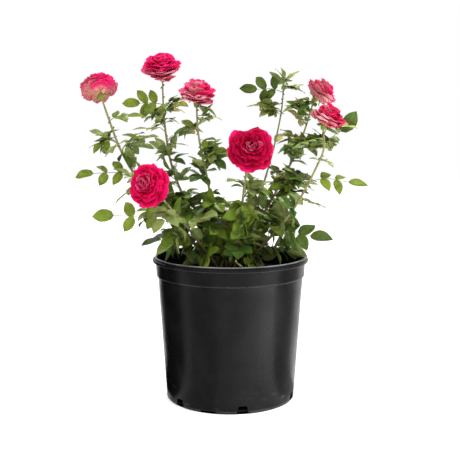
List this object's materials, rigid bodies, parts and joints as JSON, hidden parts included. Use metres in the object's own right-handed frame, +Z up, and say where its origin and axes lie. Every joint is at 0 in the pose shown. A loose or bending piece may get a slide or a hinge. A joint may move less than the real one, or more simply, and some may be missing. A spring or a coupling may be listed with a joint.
{
  "type": "potted rose bush",
  "caption": "Double crimson rose bush in bloom, on thorny canes fanning out of a plain black nursery pot.",
  "frame": {"origin": "centre of the pot's flat underside, on the surface that the pot stands on", "axes": "+Z up, +X to the right and +Y to the back as the bush is seen from its front"},
  "size_m": [0.4928, 0.3132, 0.6061],
  "materials": {
    "pot_plastic": "satin black moulded plastic",
    "soil": "damp dark potting mix",
    "old_bark": "rough brown bark",
    "cane_bark": "smooth olive green bark, browner low down",
    "petal": "velvety crimson with a cream pink reverse",
    "leaf": "semi gloss green, paler beneath"
  },
  "bodies": {
    "root": {"pot": "pot_plastic", "soil": "soil", "crown": "old_bark", "cane_left": "cane_bark", "cane_top": "cane_bark", "cane_centre": "cane_bark", "cane_front_left": "cane_bark", "cane_front": "cane_bark", "cane_right_back": "cane_bark", "cane_right": "cane_bark", "cane_tall": "cane_bark", "cane_back": "cane_bark", "bloom_left": "petal", "bloom_top": "petal", "bloom_centre": "petal", "bloom_front_left": "petal", "bloom_front": "petal", "bloom_right_back": "petal", "bloom_right": "petal", "leaves_left_top": "leaf", "leaves_left_upper": "leaf", "leaves_left_far": "leaf", "leaves_left_mid": "leaf", "leaves_left_inner": "leaf", "leaves_front_left": "leaf", "leaves_left_low": "leaf", "leaves_rim_left": "leaf", "leaves_top_left": "leaf", "leaves_top_right": "leaf", "leaves_back_upper": "leaf", "leaves_centre_upper": "leaf", "leaves_back_mid": "leaf", "leaves_back_low": "leaf", "leaves_centre_top": "leaf", "leaves_centre_mid": "leaf", "leaves_centre_low": "leaf", "leaves_bloom_side": "leaf", "leaves_tall_tip": "leaf", "leaves_tall_left": "leaf", "leaves_tall_side": "leaf", "leaves_right_upper_left": "leaf", "leaves_right_upper": "leaf", "leaves_right_bloom": "leaf", "leaves_right_mid": "leaf", "leaves_right_inner": "leaf", "leaves_right_far": "leaf", "leaves_right_heart": "leaf", "leaves_right_low": "leaf", "leaves_rim_right": "leaf", "leaves_under_bloom": "leaf", "leaves_low_left": "leaf", "leaves_low_centre": "leaf", "leaves_low_right": "leaf", "leaves_low_far_right": "leaf", "leaves_foot_left": "leaf", "leaves_foot_right": "leaf", "leaves_back_left": "leaf", "leaves_back_right": "leaf"}
  },
  "joints": []
}
